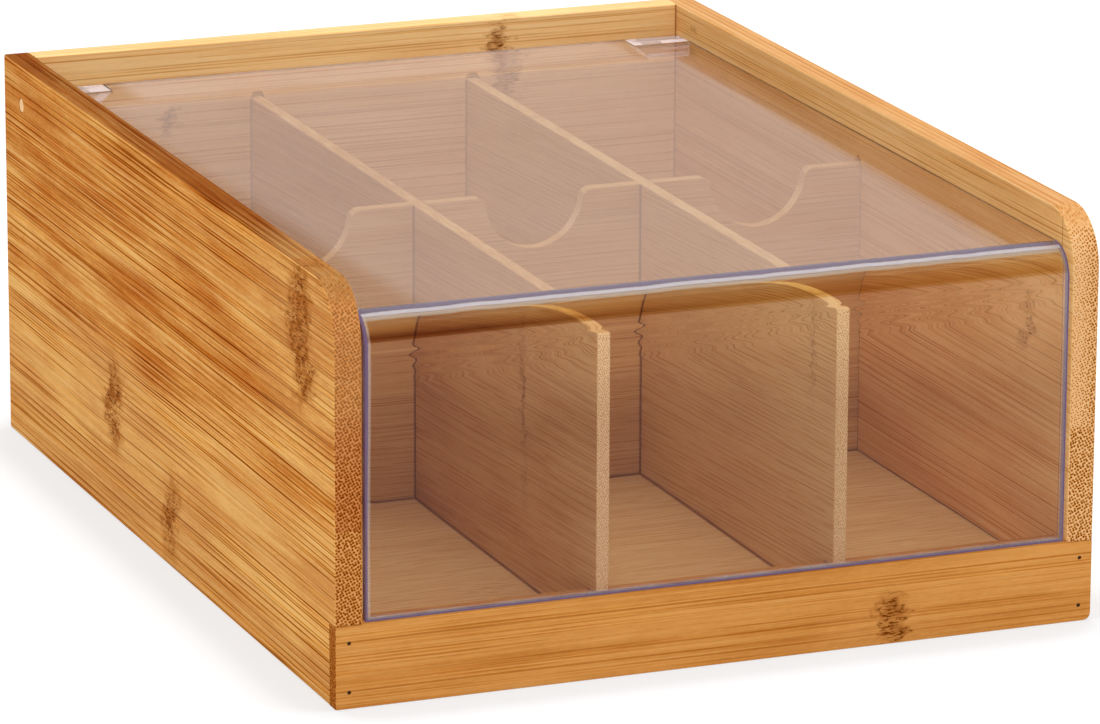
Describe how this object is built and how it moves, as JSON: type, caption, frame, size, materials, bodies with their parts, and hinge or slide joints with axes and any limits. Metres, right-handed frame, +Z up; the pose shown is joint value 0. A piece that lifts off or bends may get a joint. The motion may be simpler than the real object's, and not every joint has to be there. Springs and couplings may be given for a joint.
{
  "type": "tea bag organizer box",
  "caption": "Bamboo box with crossed dividers forming six bays, finger notches and a bent clear lid that swings up on two rear pins.",
  "frame": {"origin": "centre of the underside, on the surface the box stands on", "axes": "+X to the right seen from the front, +Y from the front towards the back, +Z up"},
  "size_m": [0.23, 0.3, 0.12],
  "materials": {
    "outer_bamboo": "satin clear-coated bamboo, honey orange",
    "inner_bamboo": "sanded bamboo, pale",
    "clear_acrylic": "clear polished acrylic",
    "steel": "plain steel wire"
  },
  "bodies": {
    "carcass": {"left_side_panel": "outer_bamboo", "right_side_panel": "outer_bamboo", "back_panel": "outer_bamboo", "front_rail": "outer_bamboo", "bottom_panel": "inner_bamboo", "left_divider": "inner_bamboo", "right_divider": "inner_bamboo", "cross_divider": "inner_bamboo", "left_hinge_pin": "steel", "right_hinge_pin": "steel", "left_pin_plug": "inner_bamboo", "right_pin_plug": "inner_bamboo", "front_rail_brads": "steel"},
    "lid": {"lid": "clear_acrylic", "left_hinge_block": "clear_acrylic", "right_hinge_block": "clear_acrylic"}
  },
  "joints": [
    {"name": "lid_hinge", "type": "hinge", "parent": "carcass", "child": "lid", "pos_m": [0, 0.1325, 0.1075], "axis": [-1, 0, 0], "range_deg": [0, 113]}
  ]
}
